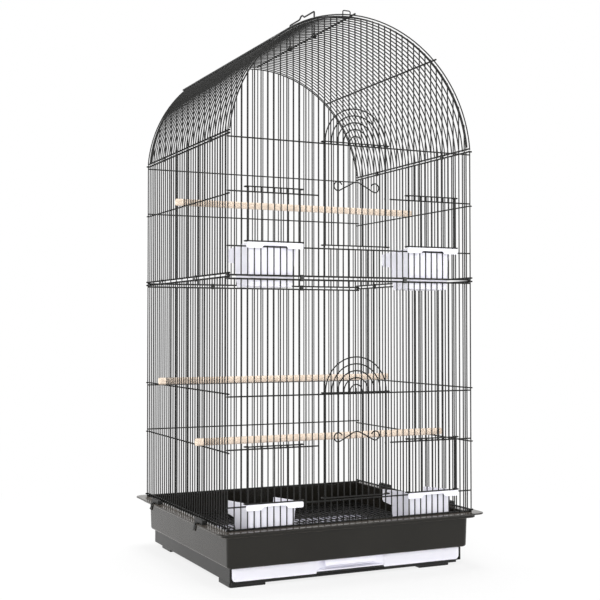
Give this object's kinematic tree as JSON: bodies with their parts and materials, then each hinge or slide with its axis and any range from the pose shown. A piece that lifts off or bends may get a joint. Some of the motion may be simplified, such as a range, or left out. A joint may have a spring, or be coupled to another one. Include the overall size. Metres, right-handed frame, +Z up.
{
  "type": "bird cage",
  "caption": "Tall barrel-roofed wire bird cage on a moulded base with a slide-out tray, sliding doors, feeding cups, dowel perches and a carrying handle.",
  "frame": {"origin": "on the floor, under the middle of the cage", "axes": "+Z up, -Y out of the door side, +X to the right as seen from the door side"},
  "size_m": [0.5092, 0.454, 0.9967],
  "materials": {
    "black_wire": "satin black powder coat on steel wire",
    "black_moulding": "black injection-moulded plastic, satin",
    "black_latch": "black injection-moulded plastic, matt",
    "white_moulding": "cool white injection-moulded plastic, semi-gloss",
    "perch_wood": "plain turned softwood dowel, unvarnished",
    "clip_steel": "folded steel strip, black"
  },
  "bodies": {
    "cage": {"back_left_joint_clip": "clip_steel", "back_right_joint_clip": "clip_steel", "base_tub": "black_moulding", "drawer_frame": "black_moulding", "floor_grille": "black_wire", "front_left_joint_clip": "clip_steel", "front_right_joint_clip": "clip_steel", "left_back_eave_clip": "clip_steel", "left_back_joint_clip": "clip_steel", "left_front_eave_clip": "clip_steel", "left_front_joint_clip": "clip_steel", "lower_back_panel": "black_wire", "lower_front_panel": "black_wire", "lower_front_perch": "perch_wood", "lower_left_panel": "black_wire", "lower_rear_perch": "perch_wood", "lower_right_panel": "black_wire", "right_back_eave_clip": "clip_steel", "right_back_joint_clip": "clip_steel", "right_front_eave_clip": "clip_steel", "right_front_joint_clip": "clip_steel", "roof_hoops": "black_wire", "roof_loop": "black_wire", "roof_rods": "black_wire", "upper_back_panel": "black_wire", "upper_front_panel": "black_wire", "upper_left_panel": "black_wire", "upper_perch": "perch_wood", "upper_right_panel": "black_wire"},
    "drawer": {"drawer_tray": "white_moulding"},
    "lower_sliding_door": {"lower_main_door": "black_wire", "lower_door_scroll": "black_wire"},
    "lower_left_feeder": {"lower_left_cup": "white_moulding"},
    "lower_left_gate": {"lower_left_feeder_door": "black_wire"},
    "lower_right_feeder": {"lower_right_cup": "white_moulding"},
    "lower_right_gate": {"lower_right_feeder_door": "black_wire"},
    "upper_sliding_door": {"upper_main_door": "black_wire", "upper_door_scroll": "black_wire"},
    "upper_left_feeder": {"upper_left_cup": "white_moulding"},
    "upper_left_gate": {"upper_left_feeder_door": "black_wire"},
    "upper_right_feeder": {"upper_right_cup": "white_moulding"},
    "upper_right_gate": {"upper_right_feeder_door": "black_wire"},
    "handle": {"carry_handle": "black_wire"},
    "right_front_clasp": {"right_front_latch": "black_latch"},
    "right_back_clasp": {"right_back_latch": "black_latch"},
    "left_front_clasp": {"left_front_latch": "black_latch"},
    "left_back_clasp": {"left_back_latch": "black_latch"}
  },
  "joints": [
    {"name": "drawer_slide", "type": "slide", "parent": "cage", "child": "drawer", "axis": [0, -1, 0], "range_m": [0, 0.3]},
    {"name": "lower_door_slide", "type": "slide", "parent": "cage", "child": "lower_sliding_door", "axis": [0, 0, 1], "range_m": [0, 0.165]},
    {"name": "lower_left_feeder_lift", "type": "slide", "parent": "cage", "child": "lower_left_feeder", "axis": [0, 0, 1], "range_m": [0, 0.025]},
    {"name": "lower_left_gate_slide", "type": "slide", "parent": "lower_left_feeder", "child": "lower_left_gate", "axis": [0, 0, 1], "range_m": [0, 0.05]},
    {"name": "lower_right_feeder_lift", "type": "slide", "parent": "cage", "child": "lower_right_feeder", "axis": [0, 0, 1], "range_m": [0, 0.025]},
    {"name": "lower_right_gate_slide", "type": "slide", "parent": "lower_right_feeder", "child": "lower_right_gate", "axis": [0, 0, 1], "range_m": [0, 0.05]},
    {"name": "upper_door_slide", "type": "slide", "parent": "cage", "child": "upper_sliding_door", "axis": [0, 0, 1], "range_m": [0, 0.165]},
    {"name": "upper_left_feeder_lift", "type": "slide", "parent": "cage", "child": "upper_left_feeder", "axis": [0, 0, 1], "range_m": [0, 0.025]},
    {"name": "upper_left_gate_slide", "type": "slide", "parent": "upper_left_feeder", "child": "upper_left_gate", "axis": [0, 0, 1], "range_m": [0, 0.05]},
    {"name": "upper_right_feeder_lift", "type": "slide", "parent": "cage", "child": "upper_right_feeder", "axis": [0, 0, 1], "range_m": [0, 0.025]},
    {"name": "upper_right_gate_slide", "type": "slide", "parent": "upper_right_feeder", "child": "upper_right_gate", "axis": [0, 0, 1], "range_m": [0, 0.05]},
    {"name": "handle_hinge", "type": "hinge", "parent": "cage", "child": "handle", "pos_m": [0, 0, 0.9452], "axis": [0, 1, 0], "range_deg": [-78, 78]},
    {"name": "right_front_clasp_hinge", "type": "hinge", "parent": "cage", "child": "right_front_clasp", "pos_m": [0.2516, -0.115, 0.084], "axis": [0, 1, 0], "range_deg": [0, 80]},
    {"name": "right_back_clasp_hinge", "type": "hinge", "parent": "cage", "child": "right_back_clasp", "pos_m": [0.2516, 0.115, 0.084], "axis": [0, 1, 0], "range_deg": [0, 80]},
    {"name": "left_front_clasp_hinge", "type": "hinge", "parent": "cage", "child": "left_front_clasp", "pos_m": [-0.2516, -0.115, 0.084], "axis": [0, -1, 0], "range_deg": [0, 80]},
    {"name": "left_back_clasp_hinge", "type": "hinge", "parent": "cage", "child": "left_back_clasp", "pos_m": [-0.2516, 0.115, 0.084], "axis": [0, -1, 0], "range_deg": [0, 80]}
  ]
}
